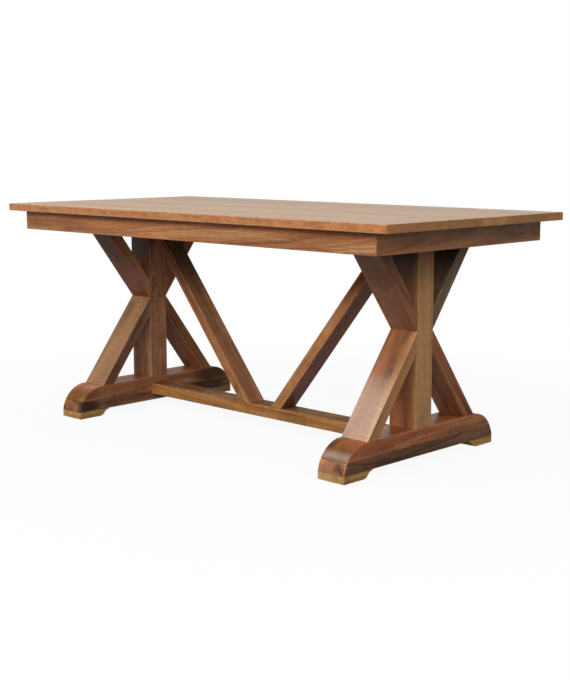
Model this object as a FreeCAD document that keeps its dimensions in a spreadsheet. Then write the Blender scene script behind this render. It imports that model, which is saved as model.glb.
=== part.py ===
import FreeCAD, Part
import math
import os
import re
import Sketcher

# Sawbuck table: a plank top in an apron frame, carried by two X-shaped trestles.
# A low stretcher and two long slanting braces hold the trestles apart.
# X runs along the table, Y across it, Z up. The origin is on the floor under the middle of the top.
# Front is -Y and right is +X.

# Driving sizes in millimetres, written once each.
SIZES = {
    # whole table and plank top
    "table_height": 760,
    "top_length": 1750,
    "top_width": 870,
    "top_thickness": 25,
    "top_edge_round": 2,
    # apron frame, set in from the rim of the top
    "apron_height": 65,
    "apron_thickness": 22,
    "apron_end_inset": 61,
    "apron_side_inset": 32,
    "block_leg": 62,
    "block_recess": 8,
    # trestles: all members are flush, as deep along X as each other
    "trestle_overhang": 200,
    "trestle_depth": 104,
    "post_width": 78,
    "brace_width": 40,
    "brace_setback": 5,
    "head_beam_height": 60,
    "head_beam_clearance": 36,
    "head_beam_chamfer": 25,
    # feet: two glued layers with rounded ends, on a pad at each end
    "foot_length": 740,
    "foot_round": 100,
    "foot_upper_height": 48,
    "foot_lower_height": 37,
    "pad_height": 24,
    "pad_length": 127,
    "pad_lip": 3,
    "pad_ogee": 40,
    # stretcher and the two long braces that stand on it
    "stretcher_width": 76,
    "stretcher_height": 40,
    "stretcher_below_glue": 14,
    "long_brace_thickness": 36,
    "long_brace_gap": 106,
    "long_brace_top_gap": 6,
    # tenons
    "post_shoulder_along": 34,
    "post_shoulder_across": 14,
    "post_top_tenon": 40,
    "stretcher_shoulder": 8,
    "stretcher_tenon": 28,
    "tenon_clearance": 0.2,
    "tenon_end_gap": 1.5,
    # loose tenons of the braces, half of their length in each piece
    "loose_tenon_thickness": 12,
    "loose_tenon_depth": 20,
    "loose_tenon_shoulder": 18,
    # screws from the head beams up into the top
    "screw_diameter": 5,
    "screw_head_diameter": 10,
    "screw_head_height": 4,
    "screw_clearance": 0.2,
    "counterbore_clearance": 1,
    "screw_end_gap": 1,
    "screw_cover": 7,
    "screw_grip": 26,
    "screw_spacing": 60,
    "screw_inset": 45,
    # sharp edges taken off along the grain
    "arris": 1.5,
}

# Height of the waist of the X on its way from the foot up to the head beam.
WAIST_SHARE = 0.532
# Middle of a loose tenon on the cut end of a brace, from the sharp corner of the end.
TENON_PLACE_SHARE = 0.64
# Widths of the top's boards, front to back.
BOARD_WIDTH_SHARES = (0.086, 0.136, 0.174, 0.109, 0.140, 0.120, 0.118, 0.117)

# Heights, half widths and slopes that follow from the driving sizes.
PLACES = {
    "top_underside": "table_height - top_thickness",
    "apron_underside": "top_underside - apron_height",
    "apron_end": "top_length / 2 - apron_end_inset",
    "apron_side": "top_width / 2 - apron_side_inset",
    "apron_inner_end": "apron_end - apron_thickness",
    "apron_inner_side": "apron_side - apron_thickness",
    "trestle_x": "top_length / 2 - trestle_overhang - trestle_depth / 2",
    "trestle_inner": "trestle_x - trestle_depth / 2",
    "glue_line": "pad_height + foot_lower_height",
    "foot_top": "glue_line + foot_upper_height",
    "round_y": "foot_length / 2 - foot_round",
    "round_z": "foot_top - foot_round",
    "end_at_glue": "round_y + sqrt(foot_round ^ 2 - (glue_line - round_z) ^ 2)",
    "end_at_pad": "round_y + sqrt(foot_round ^ 2 - (pad_height - round_z) ^ 2)",
    "pad_inner": "end_at_pad - pad_length",
    "ogee_drop": "pad_height - pad_lip",
    "ogee_radius": "(pad_ogee ^ 2 + ogee_drop ^ 2) / (4 * ogee_drop)",
    "head_underside": "top_underside - head_beam_height",
    "head_half": "apron_inner_side - head_beam_clearance",
    "screw_y": "head_half - screw_inset",
    "post_half": "post_width / 2",
    "brace_toe": "round_y - brace_setback",
    "waist_height": "foot_top + %g * (head_underside - foot_top)" % WAIST_SHARE,
    "brace_lean": "(brace_toe - post_half) / (waist_height - foot_top)",
    "brace_head": "post_half + brace_lean * (head_underside - waist_height)",
    "brace_level_cut": "brace_width * sqrt(1 + brace_lean ^ 2)",
    "brace_upright_cut": "brace_level_cut / brace_lean",
    "foot_tenon_y": "brace_toe - %g * brace_level_cut" % TENON_PLACE_SHARE,
    "head_tenon_y": "brace_head - %g * brace_level_cut" % TENON_PLACE_SHARE,
    "lower_tenon_z": "waist_height - %g * brace_upright_cut" % TENON_PLACE_SHARE,
    "upper_tenon_z": "waist_height + %g * brace_upright_cut" % TENON_PLACE_SHARE,
    "stretcher_underside": "glue_line - stretcher_below_glue",
    "stretcher_top": "stretcher_underside + stretcher_height",
    "long_brace_top": "top_underside - long_brace_top_gap",
    "long_lean": "(trestle_inner - long_brace_gap / 2) / (long_brace_top - stretcher_top)",
    "long_level_cut": "long_brace_thickness * sqrt(1 + long_lean ^ 2)",
    "long_upright_cut": "long_level_cut / long_lean",
    "long_tenon_x": "long_brace_gap / 2 + %g * long_level_cut" % TENON_PLACE_SHARE,
    "long_tenon_z": "long_brace_top - %g * long_upright_cut" % TENON_PLACE_SHARE,
    "post_tenon_along": "trestle_depth - 2 * post_shoulder_along",
    "post_tenon_across": "post_width - 2 * post_shoulder_across",
    "post_foot_tenon": "foot_upper_height - tenon_end_gap",
    "stretcher_tenon_across": "stretcher_width - 2 * stretcher_shoulder",
    "stretcher_tenon_low": "stretcher_underside + stretcher_shoulder",
    "stretcher_tenon_high": "stretcher_top - stretcher_shoulder",
    "brace_tenon_width": "trestle_depth - 2 * loose_tenon_shoulder",
    "long_tenon_width": "stretcher_width - 2 * loose_tenon_shoulder",
    "loose_tenon_length": "2 * loose_tenon_depth",
    "loose_mortise_depth": "loose_tenon_depth + tenon_end_gap",
    "loose_mortise_thickness": "loose_tenon_thickness + 2 * tenon_clearance",
    "screw_aside": "screw_spacing / 2",
    "screw_hole": "screw_diameter + 2 * screw_clearance",
    "counterbore": "screw_head_diameter + 2 * counterbore_clearance",
}

# Each axis with the origin plane square to it and the way that this plane faces along the axis.
PLANES = {"x": ("YZ_Plane", 1), "y": ("XZ_Plane", -1), "z": ("XY_Plane", 1)}

FORWARD, BACKWARD, BOTH_WAYS = 1, -1, 0
HALF_TURN = 180
QUARTER_TURN = 90
SAME_PLACE = 1e-4

doc = FreeCAD.newDocument("sawbuck_table")
sheet = doc.addObject("Spreadsheet::Sheet", "Table")
nodes = []


def fill_sheet():
    """Writes the driving sizes as plain numbers and the places as formulas, each under its own alias."""
    rows = [(name, str(size)) for name, size in SIZES.items()]
    rows += [(name, "=" + formula) for name, formula in PLACES.items()]
    for row, (name, text) in enumerate(rows, 1):
        sheet.set("A%d" % row, name)
        sheet.set("B%d" % row, text)
        sheet.setAlias("B%d" % row, name)
    doc.recompute()


def value(formula):
    """The present value of a formula written in the sheet's names."""
    return float(sheet.evalExpression(formula))


def bind(thing, where, formula):
    """Binds a property of a document object to a formula written in the sheet's names."""
    known = SIZES.keys() | PLACES.keys()
    named = re.sub(r"[a-z]\w*", lambda word: ("Table." if word[0] in known else "") + word[0], formula)
    thing.setExpression(where, named)


# Sketches, pads and pockets

def sketch_at(body, name, axis, level):
    """A sketch in the plane square to an axis, at a level along it."""
    role, facing = PLANES[axis]
    sketch = body.newObject("Sketcher::SketchObject", name + "_sketch")
    plane = next(plane for plane in body.Origin.OriginFeatures if plane.Role == role)
    sketch.AttachmentSupport = [(plane, "")]
    sketch.MapMode = "FlatFace"
    if level != "0":
        bind(sketch, "AttachmentOffset.Base.z", level if facing > 0 else "-(%s)" % level)
    return sketch


def pin_point(sketch, side, end, place):
    """Holds one end of a side at a pair of formulas."""
    for kind, formula in zip(("DistanceX", "DistanceY"), place):
        number = sketch.addConstraint(Sketcher.Constraint(kind, -1, 1, side, end, value(formula)))
        bind(sketch, "Constraints[%d]" % number, formula)


def arc_between(start, end, radius, left_turn):
    """An arc of less than half a circle from start to end, turning left or right on the way."""
    chord = end - start
    away = math.sqrt(radius ** 2 - (chord.Length / 2) ** 2)
    aside = FreeCAD.Vector(-chord.y, chord.x, 0).normalize() * (away if left_turn else -away)
    centre = (start + end) / 2 + aside
    first, last = (start, end) if left_turn else (end, start)
    angles = [math.atan2(spot.y - centre.y, spot.x - centre.x) for spot in (first, last)]
    return Part.ArcOfCircle(Part.Circle(centre, FreeCAD.Vector(0, 0, 1), radius), *angles)


def draw_outline(sketch, corners, arcs):
    """Draws a closed outline through corners, pairs of formulas, with some sides as arcs."""
    spots = [FreeCAD.Vector(value(across), value(along), 0) for across, along in corners]
    ends = []
    for side, start in enumerate(spots):
        finish = spots[(side + 1) % len(spots)]
        if side in arcs:
            radius, left_turn = arcs[side]
            sketch.addGeometry(arc_between(start, finish, value(radius), left_turn))
            ends.append((1, 2) if left_turn else (2, 1))
        else:
            sketch.addGeometry(Part.LineSegment(start, finish))
            ends.append((1, 2))
    for side, (first, last) in enumerate(ends):
        following = (side + 1) % len(ends)
        sketch.addConstraint(Sketcher.Constraint("Coincident", side, last, following, ends[following][0]))
        pin_point(sketch, side, first, corners[side])
    for side, (radius, _) in arcs.items():
        number = sketch.addConstraint(Sketcher.Constraint("Radius", side, value(radius)))
        bind(sketch, "Constraints[%d]" % number, radius)


def run_out(body, kind, name, sketch, axis, way, length):
    """Runs a sketch out along its axis as a Pad or a Pocket."""
    feature = body.newObject("PartDesign::" + kind, name)
    feature.Profile = sketch
    bind(feature, "Length", length)
    if way == BOTH_WAYS:
        feature.SideType = "Symmetric"
    else:
        along_normal = way * PLANES[axis][1] > 0
        feature.Reversed = along_normal == (kind == "Pocket")
    return feature


def pad(body, name, axis, way, level, length, corners, arcs=None):
    """Adds wood inside an outline."""
    sketch = sketch_at(body, name, axis, level)
    draw_outline(sketch, corners, arcs or {})
    run_out(body, "Pad", name, sketch, axis, way, length)


def pocket(body, name, axis, way, level, depth, corners):
    """Cuts wood away inside an outline."""
    sketch = sketch_at(body, name, axis, level)
    draw_outline(sketch, corners, {})
    run_out(body, "Pocket", name, sketch, axis, way, depth)


def drill(body, name, axis, way, level, depth, centres, diameter):
    """Drills round holes of one diameter and depth."""
    sketch = sketch_at(body, name, axis, level)
    for side, centre in enumerate(centres):
        spot = FreeCAD.Vector(value(centre[0]), value(centre[1]), 0)
        sketch.addGeometry(Part.Circle(spot, FreeCAD.Vector(0, 0, 1), value(diameter) / 2))
        pin_point(sketch, side, 3, centre)
        number = sketch.addConstraint(Sketcher.Constraint("Diameter", side, value(diameter)))
        bind(sketch, "Constraints[%d]" % number, diameter)
    run_out(body, "Pocket", name, sketch, axis, way, depth)


def cut_loose_mortise(body, name, axis, way, face, corners):
    """Cuts a mortise for the half of a loose tenon that goes into a face."""
    pocket(body, name, axis, way, face, "loose_mortise_depth", corners)


def soften(body, kind, name, size, chosen):
    """Takes the edges that chosen picks off the body so far, with a Chamfer or a Fillet."""
    doc.recompute()
    base = body.Tip
    edges = ["Edge%d" % number for number, edge in enumerate(base.Shape.Edges, 1) if chosen(edge)]
    feature = body.newObject("PartDesign::" + kind, name)
    feature.Base = (base, edges)
    bind(feature, {"Chamfer": "Size", "Fillet": "Radius"}[kind], size)


def runs_along(edge, direction):
    """Whether a straight edge runs along a direction."""
    if edge.Curve.TypeId != "Part::GeomLine":
        return False
    return edge.Curve.Direction.cross(direction).Length < SAME_PLACE * direction.Length


def lies_at(place, formula):
    """Whether a coordinate is at a formula's value, on either side of the middle."""
    return abs(abs(place) - value(formula)) < SAME_PLACE


def rectangle(across, low, high):
    """Corners of a rectangle that reaches across / 2 to both sides of the middle."""
    half = "(%s) / 2" % across
    return [("-" + half, low), (half, low), (half, high), ("-" + half, high)]


def loose_mortise(width, middle):
    """Corners of a loose tenon's mortise that lies across the middle line at a place along it."""
    low = middle + " - loose_mortise_thickness / 2"
    high = middle + " + loose_mortise_thickness / 2"
    return rectangle(width + " + 2 * tenon_clearance", low, high)


def turned(corners):
    """Corners with across and along changed over."""
    return [(along, across) for across, along in corners]


def new_body(label):
    """An empty body that becomes one node."""
    body = doc.addObject("PartDesign::Body", label)
    body.Label = label
    nodes.append(body)
    return body


def stand(body, x="0", y="0", turn=0):
    """Turns a body about Z and then moves it to its place."""
    body.Placement = FreeCAD.Placement(FreeCAD.Vector(), FreeCAD.Rotation(FreeCAD.Vector(0, 0, 1), turn))
    bind(body, "Placement.Base.x", x)
    bind(body, "Placement.Base.y", y)


ALONG_X = FreeCAD.Vector(1, 0, 0)
ALONG_Y = FreeCAD.Vector(0, 1, 0)
ALONG_Z = FreeCAD.Vector(0, 0, 1)

# The right trestle stands as drawn, with its inner side at -X. The left one is turned half round.
TRESTLES = {"left": ("-trestle_x", HALF_TURN), "right": ("trestle_x", 0)}
# Pieces at one end of a foot are drawn at the back end.
ENDS = {"front": HALF_TURN, "back": 0}
# Signs of the two sides of a middle line.
SIDES = {"minus": "-", "plus": ""}


def stand_in_trestle(body, trestle):
    """Stands a body in the middle of its trestle, with its inner side inwards."""
    x, turn = TRESTLES[trestle]
    stand(body, x, turn=turn)


# Top

def screw_places():
    """Where the head beams' screws enter the top, seen from above."""
    return [
        ("%strestle_x %s screw_aside" % (end, step), side + "screw_y")
        for end in ("-", "") for step in ("-", "+") for side in ("-", "")
    ]


def is_rim(edge):
    """Whether an edge of a board lies on the rim of the whole top."""
    middle = edge.CenterOfMass
    at_end = lies_at(middle.x, "top_length / 2")
    at_side = lies_at(middle.y, "top_width / 2")
    return at_end and runs_along(edge, ALONG_Y) or at_side and not runs_along(edge, ALONG_Y)


def make_top():
    """Edge-glued boards along the table, with pilot holes under the boards that screws enter."""
    done = 0
    for number, share in enumerate(BOARD_WIDTH_SHARES, 1):
        near = "top_width * (%.3f - 1 / 2)" % done
        done = round(done + share, 3)
        far = "top_width * (%.3f - 1 / 2)" % done
        body = new_body("top_board_%d" % number)
        corners = [
            (near, "top_underside"), (far, "top_underside"),
            (far, "table_height"), (near, "table_height"),
        ]
        pad(body, "plank", "x", BOTH_WAYS, "0", "top_length", corners)
        soften(body, "Fillet", "rim", "top_edge_round", is_rim)
        reach = value("screw_hole")
        entries = [
            place for place in screw_places()
            if value(near) - reach < value(place[1]) < value(far) + reach
        ]
        if entries:
            depth = "top_thickness - screw_cover + screw_end_gap"
            drill(body, "pilots", "z", FORWARD, "top_underside", depth, entries, "screw_hole")


# Apron frame

def make_rail(label, axis, turn):
    """One mitred rail, drawn for the front or the right end."""
    body = new_body(label)
    if axis == "x":
        corners = [
            ("-apron_end", "-apron_side"), ("apron_end", "-apron_side"),
            ("apron_inner_end", "-apron_inner_side"), ("-apron_inner_end", "-apron_inner_side"),
        ]
        grain = ALONG_X
    else:
        corners = [
            ("apron_end", "-apron_side"), ("apron_end", "apron_side"),
            ("apron_inner_end", "apron_inner_side"), ("apron_inner_end", "-apron_inner_side"),
        ]
        grain = ALONG_Y
    pad(body, "rail", "z", FORWARD, "apron_underside", "apron_height", corners)
    soften(body, "Chamfer", "lower_arris", "arris",
           lambda edge: runs_along(edge, grain) and lies_at(edge.CenterOfMass.z, "apron_underside"))
    stand(body, turn=turn)


# Corners of the apron in turn from the back right, each a quarter turn on from the last.
CORNERS = (
    ("back_right", "", ""),
    ("back_left", "-", ""),
    ("front_left", "-", "-"),
    ("front_right", "", "-"),
)


def make_corner_blocks():
    """Triangular blocks glued into the apron's corners and under the top."""
    low = "apron_underside + block_recess"
    for quarter, (corner, side_x, side_y) in enumerate(CORNERS):
        body = new_body("corner_block_" + corner)
        legs = [("-block_leg", "0"), ("0", "-block_leg"), ("0", "0")]
        pad(body, "block", "z", FORWARD, low, "apron_height - block_recess", legs)
        stand(body, side_x + "apron_inner_end", side_y + "apron_inner_side", quarter * QUARTER_TURN)


# Trestles

POST_MORTISE = rectangle(
    "post_tenon_along + 2 * tenon_clearance",
    "-post_tenon_across / 2 - tenon_clearance",
    "post_tenon_across / 2 + tenon_clearance",
)
STRETCHER_MORTISE = rectangle(
    "stretcher_tenon_across + 2 * tenon_clearance",
    "stretcher_tenon_low - tenon_clearance",
    "stretcher_tenon_high + tenon_clearance",
)


def make_head_beam(trestle):
    """Beam under the top that the post and the upper braces carry."""
    body = new_body("head_beam_" + trestle)
    corners = [
        ("-(head_half - head_beam_chamfer)", "head_underside"),
        ("head_half - head_beam_chamfer", "head_underside"),
        ("head_half", "head_underside + head_beam_chamfer"), ("head_half", "top_underside"),
        ("-head_half", "top_underside"), ("-head_half", "head_underside + head_beam_chamfer"),
    ]
    pad(body, "beam", "x", BOTH_WAYS, "0", "trestle_depth", corners)
    pocket(body, "mortise", "z", FORWARD, "head_underside", "post_top_tenon + tenon_end_gap", POST_MORTISE)
    for name, side in SIDES.items():
        mortise = loose_mortise("brace_tenon_width", side + "head_tenon_y")
        cut_loose_mortise(body, name + "_brace_mortise", "z", FORWARD, "head_underside", mortise)
    mortise = loose_mortise("long_tenon_width", "long_tenon_z")
    cut_loose_mortise(body, "long_brace_mortise", "x", FORWARD, "-trestle_depth / 2", mortise)
    holes = [(step + "screw_aside", side + "screw_y") for step in ("-", "") for side in ("-", "")]
    drill(body, "screw_holes", "z", FORWARD, "head_underside", "head_beam_height", holes, "screw_hole")
    seat = "head_beam_height - screw_grip"
    drill(body, "screw_seats", "z", FORWARD, "head_underside", seat, holes, "counterbore")
    stand_in_trestle(body, trestle)


def make_post(trestle):
    """Upright with a tenon at each end and mortises for the loose tenons of the four half braces."""
    body = new_body("post_" + trestle)
    section = rectangle("trestle_depth", "-post_half", "post_half")
    pad(body, "shaft", "z", FORWARD, "foot_top", "head_underside - foot_top", section)
    soften(body, "Chamfer", "arrises", "arris", lambda edge: runs_along(edge, ALONG_Z))
    tenon = rectangle("post_tenon_along", "-post_tenon_across / 2", "post_tenon_across / 2")
    pad(body, "foot_tenon", "z", BACKWARD, "foot_top", "post_foot_tenon", tenon)
    pad(body, "head_tenon", "z", FORWARD, "head_underside", "post_top_tenon", tenon)
    for height in ("lower", "upper"):
        mortise = loose_mortise("brace_tenon_width", height + "_tenon_z")
        cut_loose_mortise(body, "front_%s_mortise" % height, "y", FORWARD, "-post_half", mortise)
        cut_loose_mortise(body, "back_%s_mortise" % height, "y", BACKWARD, "post_half", mortise)
    stand_in_trestle(body, trestle)


def make_brace(trestle, end, level):
    """Half brace of the X, drawn behind the post: cut upright on it and level on the foot or head beam."""
    body = new_body("brace_%s_%s_%s" % (trestle, end, level))
    if level == "lower":
        tip = "waist_height - brace_upright_cut"
        seat, corner, way = "foot_top", "brace_toe", FORWARD
        slope = FreeCAD.Vector(0, value("brace_lean"), -1)
        level_y, upright_z = "foot_tenon_y", "lower_tenon_z"
    else:
        tip = "waist_height + brace_upright_cut"
        seat, corner, way = "head_underside", "brace_head", BACKWARD
        slope = FreeCAD.Vector(0, value("brace_lean"), 1)
        level_y, upright_z = "head_tenon_y", "upper_tenon_z"
    corners = [
        ("post_half", "waist_height"), ("post_half", tip),
        (corner + " - brace_level_cut", seat), (corner, seat),
    ]
    pad(body, "bar", "x", BOTH_WAYS, "0", "trestle_depth", corners)
    soften(body, "Chamfer", "arrises", "arris", lambda edge: runs_along(edge, slope))
    mortise = loose_mortise("brace_tenon_width", level_y)
    cut_loose_mortise(body, "level_mortise", "z", way, seat, mortise)
    mortise = loose_mortise("brace_tenon_width", upright_z)
    cut_loose_mortise(body, "upright_mortise", "y", FORWARD, "post_half", mortise)
    stand(body, TRESTLES[trestle][0], turn=ENDS[end])


# Sides of a foot layer's outline that are arcs, each with its radius and its turn to the left.
ROUNDED_ENDS = {1: ("foot_round", True), 3: ("foot_round", True)}


def is_end_edge(edge):
    """Whether an edge of a foot layer follows the routed outline on either side of the foot."""
    if not lies_at(edge.CenterOfMass.x, "trestle_depth / 2"):
        return False
    return edge.Curve.TypeId == "Part::GeomCircle" or lies_at(edge.CenterOfMass.z, "foot_top")


def make_foot_upper(trestle):
    """Upper layer of a foot: rounded ends and the mortises of post, stretcher and braces."""
    body = new_body("foot_upper_" + trestle)
    corners = [("-end_at_glue", "glue_line"), ("end_at_glue", "glue_line"),
               ("round_y", "foot_top"), ("-round_y", "foot_top")]
    pad(body, "layer", "x", BOTH_WAYS, "0", "trestle_depth", corners, ROUNDED_ENDS)
    soften(body, "Chamfer", "arrises", "arris", is_end_edge)
    pocket(body, "post_mortise", "z", BACKWARD, "foot_top", "foot_upper_height", POST_MORTISE)
    depth = "stretcher_tenon + tenon_end_gap"
    pocket(body, "stretcher_mortise", "x", FORWARD, "-trestle_depth / 2", depth, STRETCHER_MORTISE)
    for name, side in SIDES.items():
        mortise = loose_mortise("brace_tenon_width", side + "foot_tenon_y")
        cut_loose_mortise(body, name + "_brace_mortise", "z", BACKWARD, "foot_top", mortise)
    stand_in_trestle(body, trestle)


def make_foot_lower(trestle):
    """Lower layer of a foot: carries on the rounded ends and the stretcher's mortise."""
    body = new_body("foot_lower_" + trestle)
    corners = [("-end_at_pad", "pad_height"), ("end_at_pad", "pad_height"),
               ("end_at_glue", "glue_line"), ("-end_at_glue", "glue_line")]
    pad(body, "layer", "x", BOTH_WAYS, "0", "trestle_depth", corners, ROUNDED_ENDS)
    soften(body, "Chamfer", "arrises", "arris", is_end_edge)
    depth = "stretcher_tenon + tenon_end_gap"
    pocket(body, "stretcher_mortise", "x", FORWARD, "-trestle_depth / 2", depth, STRETCHER_MORTISE)
    stand_in_trestle(body, trestle)


def make_pad(trestle, end):
    """Foot pad, drawn at the back end: upright outer end, and an ogee under a lip at the inner end."""
    body = new_body("foot_pad_%s_%s" % (trestle, end))
    corners = [
        ("pad_inner + pad_ogee", "0"), ("end_at_pad", "0"),
        ("end_at_pad", "pad_height"), ("pad_inner", "pad_height"),
        ("pad_inner", "ogee_drop"), ("pad_inner + pad_ogee / 2", "ogee_drop / 2"),
    ]
    arcs = {4: ("ogee_radius", False), 5: ("ogee_radius", True)}
    pad(body, "pad", "x", BOTH_WAYS, "0", "trestle_depth", corners, arcs)
    soften(body, "Chamfer", "arrises", "arris",
           lambda edge: runs_along(edge, ALONG_Z) and lies_at(edge.CenterOfMass.y, "end_at_pad"))
    stand(body, TRESTLES[trestle][0], turn=ENDS[end])


# Stretcher and long braces

def make_stretcher():
    """Bar between the feet with a tenon at each end and mortises for the long braces' loose tenons."""
    body = new_body("stretcher")
    section = rectangle("stretcher_width", "stretcher_underside", "stretcher_top")
    pad(body, "bar", "x", BOTH_WAYS, "0", "2 * trestle_inner", section)
    soften(body, "Chamfer", "arrises", "arris", lambda edge: runs_along(edge, ALONG_X))
    tenon = rectangle("stretcher_tenon_across", "stretcher_tenon_low", "stretcher_tenon_high")
    pad(body, "left_tenon", "x", BACKWARD, "-trestle_inner", "stretcher_tenon", tenon)
    pad(body, "right_tenon", "x", FORWARD, "trestle_inner", "stretcher_tenon", tenon)
    for name, side in SIDES.items():
        mortise = turned(loose_mortise("long_tenon_width", side + "long_tenon_x"))
        cut_loose_mortise(body, name + "_brace_mortise", "z", BACKWARD, "stretcher_top", mortise)


def make_long_brace(trestle):
    """Slanting brace, drawn for the right: cut level on the stretcher and upright on the head beam."""
    body = new_body("long_brace_" + trestle)
    corners = [
        ("long_brace_gap / 2", "stretcher_top"), ("long_brace_gap / 2 + long_level_cut", "stretcher_top"),
        ("trestle_inner", "long_brace_top - long_upright_cut"), ("trestle_inner", "long_brace_top"),
    ]
    pad(body, "bar", "y", BOTH_WAYS, "0", "stretcher_width", corners)
    slope = FreeCAD.Vector(value("long_lean"), 0, 1)
    soften(body, "Chamfer", "arrises", "arris", lambda edge: runs_along(edge, slope))
    mortise = turned(loose_mortise("long_tenon_width", "long_tenon_x"))
    cut_loose_mortise(body, "level_mortise", "z", FORWARD, "stretcher_top", mortise)
    mortise = loose_mortise("long_tenon_width", "long_tenon_z")
    cut_loose_mortise(body, "upright_mortise", "x", BACKWARD, "trestle_inner", mortise)
    stand(body, turn=TRESTLES[trestle][1])


# Loose tenons and screws

def loose_tenon(middle, sizes):
    """Loose tenon with three formulas for its middle and three for its sizes along X, Y and Z."""
    tenon = doc.addObject("Part::Box", "loose_tenon")
    for letter, side, place, size in zip("xyz", ("Length", "Width", "Height"), middle, sizes):
        bind(tenon, side, size)
        bind(tenon, "Placement.Base." + letter, "%s - %s / 2" % (place, size))
    return tenon


def make_group(label, pieces):
    """Like small pieces kept together in one node."""
    group = doc.addObject("Part::Compound", label)
    group.Label = label
    group.Links = pieces
    nodes.append(group)


def make_brace_tenons():
    """A loose tenon at each end of each half brace."""
    lying = ("brace_tenon_width", "loose_tenon_length", "loose_tenon_thickness")
    standing = ("brace_tenon_width", "loose_tenon_thickness", "loose_tenon_length")
    tenons = []
    for trestle, _ in TRESTLES.values():
        for side in SIDES.values():
            tenons.append(loose_tenon((trestle, side + "post_half", "lower_tenon_z"), lying))
            tenons.append(loose_tenon((trestle, side + "post_half", "upper_tenon_z"), lying))
            tenons.append(loose_tenon((trestle, side + "foot_tenon_y", "foot_top"), standing))
            tenons.append(loose_tenon((trestle, side + "head_tenon_y", "head_underside"), standing))
    make_group("brace_tenons", tenons)


def make_long_brace_tenons():
    """A loose tenon at each end of each long brace."""
    lying = ("loose_tenon_length", "long_tenon_width", "loose_tenon_thickness")
    standing = ("loose_tenon_thickness", "long_tenon_width", "loose_tenon_length")
    tenons = []
    for side in SIDES.values():
        tenons.append(loose_tenon((side + "long_tenon_x", "0", "stretcher_top"), standing))
        tenons.append(loose_tenon((side + "trestle_inner", "0", "long_tenon_z"), lying))
    make_group("long_brace_tenons", tenons)


def rod(name, place, diameter, length):
    """Upright round rod from a place, three formulas."""
    cylinder = doc.addObject("Part::Cylinder", name)
    for letter, formula in zip("xyz", place):
        bind(cylinder, "Placement.Base." + letter, formula)
    bind(cylinder, "Radius", "%s / 2" % diameter)
    bind(cylinder, "Height", length)
    return cylinder


def make_head_beam_screws():
    """Screws whose heads sit deep in the head beams and whose shanks run up into the top."""
    seat = "top_underside - screw_grip"
    underside = seat + " - screw_head_height"
    length = "screw_grip + top_thickness - screw_cover"
    screws = []
    for x, y in screw_places():
        shank = rod("shank", (x, y, seat), "screw_diameter", length)
        head = rod("head", (x, y, underside), "screw_head_diameter", "screw_head_height")
        screw = doc.addObject("Part::MultiFuse", "screw")
        screw.Shapes = [shank, head]
        screws.append(screw)
    make_group("head_beam_screws", screws)


def make_table():
    """Makes every piece of the table in the document."""
    fill_sheet()
    make_top()
    make_rail("apron_front", "x", 0)
    make_rail("apron_back", "x", HALF_TURN)
    make_rail("apron_right_end", "y", 0)
    make_rail("apron_left_end", "y", HALF_TURN)
    make_corner_blocks()
    for trestle in TRESTLES:
        make_head_beam(trestle)
        make_post(trestle)
        for end in ENDS:
            for level in ("lower", "upper"):
                make_brace(trestle, end, level)
        make_foot_upper(trestle)
        make_foot_lower(trestle)
        for end in ENDS:
            make_pad(trestle, end)
        make_long_brace(trestle)
    make_stretcher()
    make_brace_tenons()
    make_long_brace_tenons()
    make_head_beam_screws()
    doc.recompute()


def write_parts():
    """Checks the document and writes each node to its own file."""
    for thing in doc.Objects:
        if "Invalid" in thing.State or "Error" in thing.State:
            raise RuntimeError("%s failed: %s" % (thing.Label, thing.State))
    for node in nodes:
        if node.Shape.isNull() or not node.Shape.isValid():
            raise RuntimeError("%s has no valid shape" % node.Label)
    os.makedirs("parts", exist_ok=True)
    for node in nodes:
        node.Shape.exportStep("parts/%s.step" % node.Label)
        print("%-28s %2d solid(s) %12.0f mm3" % (node.Label, len(node.Shape.Solids), node.Shape.Volume))


make_table()
write_parts()
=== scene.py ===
# %% [markdown]
# # A sawbuck table in lacquered wood
# The solid model arrives joined up: every board, rail, brace and foot is already in its place. What is
# left is the work of a timber yard, a polisher and a photographer. Each piece gets a plank of its own,
# with figure that runs along it and comes out at its cut ends, then a satin lacquer, and then studio
# light.

# %% Load the joined table
import math

import bmesh
import bpy
from mathutils import Matrix, Vector


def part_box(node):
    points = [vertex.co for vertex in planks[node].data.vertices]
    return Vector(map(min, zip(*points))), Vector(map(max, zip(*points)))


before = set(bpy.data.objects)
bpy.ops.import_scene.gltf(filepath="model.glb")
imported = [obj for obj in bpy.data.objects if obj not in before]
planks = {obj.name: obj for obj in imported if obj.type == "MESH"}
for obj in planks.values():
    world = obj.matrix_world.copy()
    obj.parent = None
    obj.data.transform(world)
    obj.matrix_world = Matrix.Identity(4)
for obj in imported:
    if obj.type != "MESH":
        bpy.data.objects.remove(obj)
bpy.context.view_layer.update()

# %% [markdown]
# ## Camera
# The picture was taken from the right of the front, a little above the top. A camera could be aimed with
# a constraint, but a turn and a tilt are two plain numbers that are easy to compare with a picture. The
# field of view is fixed up and down, so the framing doesn't depend on the width of the picture.

# %% Camera
EYE = Vector((2.9574, -2.9857, 0.9690))
TURN = math.radians(43.90)
TILT = math.radians(-9.03)
FIELD_UP = math.radians(30.76)

lens = bpy.data.cameras.new("camera")
lens.sensor_fit = "VERTICAL"
lens.angle = FIELD_UP
camera = bpy.data.objects.new("camera", lens)
camera.location = EYE
camera.rotation_euler = (math.pi / 2 + TILT, 0, TURN)
bpy.context.scene.collection.objects.link(camera)
bpy.context.scene.camera = camera
print("camera stands", round(EYE.length, 2), "m from the middle of the floor")

# %% [markdown]
# ## Wires
# Wood is mostly arithmetic: distances from the heart of the tree, noise stretched along the grain, masks.
# Node trees can be built link by link, but sums are easier to read as sums. A Wire holds the output of a
# node, and adding, subtracting or multiplying Wires adds the Math nodes. Every other node comes from the
# one method add.

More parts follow.
